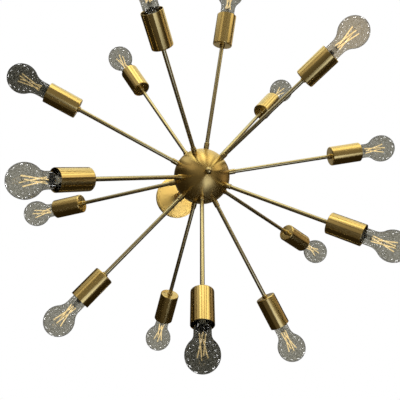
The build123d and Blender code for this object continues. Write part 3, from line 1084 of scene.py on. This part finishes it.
# ---- light ---------------------------------------------------------------------------------------
# The studio is a dark room with a few soft boxes. Each is given by how far it lies off the line
# to the camera, by its clock angle in the picture, both (from, to) in degrees, and its colour.
room_colour = (0.025, 0.019, 0.01)
soft_boxes = (
    ((0, 58), (0, 360), (0.07, 0.065, 0.055)),
    ((0, 58), (-40, 160), (0.12, 0.11, 0.09)),
    ((12, 47), (286, 346), (0.9, 1.05, 1.45)),
    ((44, 64), (118, 152), (0.4, 0.36, 0.3)),
    ((58, 66), (52, 114), (0.4, 0.35, 0.28)),
    ((64, 102), (101, 114), (2.2, 2.25, 1.7)),
    ((64, 102), (91, 101), (1.3, 1.1, 0.75)),
    ((64, 102), (79, 91), (2.2, 2.2, 1.7)),
    ((64, 98), (68, 79), (1.3, 1.1, 0.7)),
    ((64, 98), (58, 68), (1.7, 1.65, 1.2)),
    ((64, 98), (51, 58), (0.6, 0.5, 0.35)),
    ((62, 96), (40, 51), (1.9, 1.85, 1.35)),
    ((62, 92), (20, 40), (1.2, 1.05, 0.75)),
    ((80, 130), (114, 138), (0.8, 0.8, 0.75)),
    ((80, 110), (138, 156), (0.35, 0.32, 0.28)),
    ((60, 80), (112, 150), (0.3, 0.27, 0.22)),
    ((98, 160), (36, 78), (0.95, 0.95, 0.85)),
    ((106, 160), (80, 112), (1.0, 1.05, 1.0)),
    ((118, 134), (12, 30), (0.9, 0.8, 0.7)),
    ((86, 118), (346, 374), (0.38, 0.3, 0.22)),
    ((150, 180), (0, 360), (0.22, 0.22, 0.22)),
)
off_edge = 2.5
clock_edge = 2.0
clock_lead = 10.0
lamp_distance = 2.4
canopy_lamp_distance = 1.7
dome_distance = 1.9
dome_rows = 90
dome_columns = 180
dome_end = 179.5  # half a degree stays open at the far end
# Small bright lamps far round the side, which show as sparkles in every lamp's glass: how far
# off the line to the camera, clock angle, radius in degrees and brightness.
spark_lamps = [(92.0 + 9.0 * (step % 3), 8.0 + 22.5 * step, 4.2, 10.0) for step in range(16)]
spark_lamps += [(50.0 + 18.0 * (step % 2), 30.0 + 45.0 * step, 2.5, 8.0) for step in range(8)]
spark_lamps += [(122.0, 20.0 + 72.0 * step, 2.2, 7.0) for step in range(5)]
spark_distance = 1.88
spark_sides = 10


def make_world():
    """White behind the light and in its glass and metal, and a plain grey for the rest."""
    world = bpy.data.worlds.new("studio")
    bpy.context.scene.world = world
    world.use_nodes = True
    world.node_tree.nodes.clear()
    n = Nodes(world.node_tree)
    rays = n.add("ShaderNodeLightPath").outputs
    seen = n.math("MAXIMUM", rays["Is Camera Ray"], rays["Is Glossy Ray"])
    seen = n.math("MAXIMUM", seen, rays["Is Transmission Ray"])
    strength = n.math("ADD", n.math("MULTIPLY", seen, 0.4), 0.6)
    back = n.add("ShaderNodeBackground", {"Color": (1, 1, 1, 1), "Strength": strength})
    n.add("ShaderNodeOutputWorld", {"Surface": back.outputs[0]})


def toward(off_axis, clock):
    """A direction from the hub, by its angle off the camera's and its angle in the picture."""
    off, turn = math.radians(off_axis), math.radians(clock)
    side = picture_right * math.cos(turn) + picture_up * math.sin(turn)
    return side * math.sin(off) - forward * math.cos(off)


def soft_edge(value, span, edge):
    """1 inside a span and 0 outside it, with a short ramp at both ends."""
    low, high = span
    rise = min(max((value - low) / edge + 0.5, 0.0), 1.0)
    fall = min(max((high - value) / edge + 0.5, 0.0), 1.0)
    return rise * fall


def studio_glow(off, clock):
    """The studio's colour in one direction."""
    glow = list(room_colour)
    for off_span, clock_span, colour in soft_boxes:
        # The clock is counted from a little before the box, so that its soft edge stays whole.
        start = clock_span[0] - clock_lead
        share = soft_edge(off, off_span, off_edge)
        if clock_span[1] - clock_span[0] < 360:
            share *= soft_edge(start + (clock - start) % 360.0, clock_span, clock_edge)
        glow = [level + share * channel for level, channel in zip(glow, colour)]
    return glow


def glowing(name, verts, faces, colours, receivers):
    """A glowing piece of studio that only the receivers mirror, painted on its corners."""
    mesh = bpy.data.meshes.new(name)
    mesh.from_pydata(verts, [], faces)
    paint = mesh.color_attributes.new("glow", "FLOAT_COLOR", "POINT")
    for point, colour in zip(paint.data, colours):
        point.color = (*colour, 1.0)
    material = bpy.data.materials.new(name)
    material.use_nodes = True
    material.cycles.emission_sampling = "NONE"
    material.node_tree.nodes.clear()
    n = Nodes(material.node_tree)
    painted = n.add("ShaderNodeAttribute", attribute_type="GEOMETRY", attribute_name="glow")
    glow = n.add("ShaderNodeEmission", {"Color": painted.outputs["Color"]})
    n.add("ShaderNodeOutputMaterial", {"Surface": glow.outputs[0]})
    mesh.materials.append(material)
    piece = linked(name, mesh)
    piece.visible_camera = False
    piece.visible_diffuse = False
    piece.visible_transmission = False
    piece.visible_volume_scatter = False
    piece.visible_shadow = False
    piece.light_linking.receiver_collection = receivers


def make_studio_dome():
    """The room and its soft boxes, as one dome inside the floor's reach."""
    places = [(0.0, 0.0)]
    for row in range(1, dome_rows + 1):
        off = dome_end * row / dome_rows
        places += [(off, 360.0 * column / dome_columns) for column in range(dome_columns)]
    verts = [hub_centre + toward(*place) * dome_distance for place in places]
    colours = [studio_glow(*place) for place in places]
    columns = [(column, (column + 1) % dome_columns) for column in range(dome_columns)]
    faces = [(0, 1 + column, 1 + beside) for column, beside in columns]
    for row in range(dome_rows - 1):
        first = 1 + row * dome_columns
        second = first + dome_columns
        for column, beside in columns:
            faces.append((first + column, second + column, second + beside, first + beside))
    glowing("studio_dome", verts, faces, colours, all_but_glass)


def make_spark_lamps():
    verts, faces, colours = [], [], []
    for off, clock, radius, brightness in spark_lamps:
        aim = toward(off, clock)
        across = aim.orthogonal().normalized()
        beside = aim.cross(across)
        reach = spark_distance * math.tan(math.radians(radius))
        colours += [(brightness,) * 3] * spark_sides
        faces.append(tuple(range(len(verts), len(verts) + spark_sides)))
        for side in range(spark_sides):
            angle = 2 * math.pi * side / spark_sides
            rim = (across * math.cos(angle) + beside * math.sin(angle)) * reach
            verts.append(hub_centre + aim * spark_distance + rim)
    glowing("spark_lamps", verts, faces, colours, glass_only)


def area_lamp(name, place, way, size, power, colour, receivers):
    """A lamp at a place that shines back along its way. It isn't seen through glass."""
    data = bpy.data.lights.new(name, "AREA")
    data.shape = "RECTANGLE"
    data.size, data.size_y = size
    data.energy = power
    data.color = colour
    light = linked(name, data)
    light.visible_transmission = False
    light.light_linking.receiver_collection = receivers
    turn = way.to_track_quat("Z", "Y").to_matrix().to_4x4()
    light.matrix_world = Matrix.Translation(place) @ turn
    return light


def make_lights():
    """Two lamps whose shapes nothing mirrors, and a warm one for the canopy alone."""
    for name, off, clock, size, power, colour in (
        ("key", 68.0, 84.0, (1.4, 0.9), 60.0, (1, 0.97, 0.92)),
        ("fill", 38.0, -62.0, (0.35, 0.35), 8.0, (0.95, 0.97, 1.0)),
    ):
        way = toward(off, clock)
        place = hub_centre + way * lamp_distance
        light = area_lamp(name, place, way, size, power, colour, all_but_floor)
        light.visible_glossy = False
    canopy_only = bpy.data.collections.new("canopy_only")
    canopy_only.objects.link(frame["nodes"]["canopy"])
    # The warm lamp stands where the canopy's flat face mirrors the camera's side.
    sight = toward(0.0, 0.0)
    mirrored = Vector((-sight.x, -sight.y, sight.z))
    place = mirrored * canopy_lamp_distance
    area_lamp("canopy_lamp", place, mirrored, (1.0, 1.0), 22.0, (1.0, 0.84, 0.55), canopy_only)


make_arms()
make_lamps()
make_finial()
dress_cad_nodes()
make_camera()
make_floor()
make_world()
make_studio_dome()
make_spark_lamps()
make_lights()
bpy.context.scene.view_settings.view_transform = "Standard"
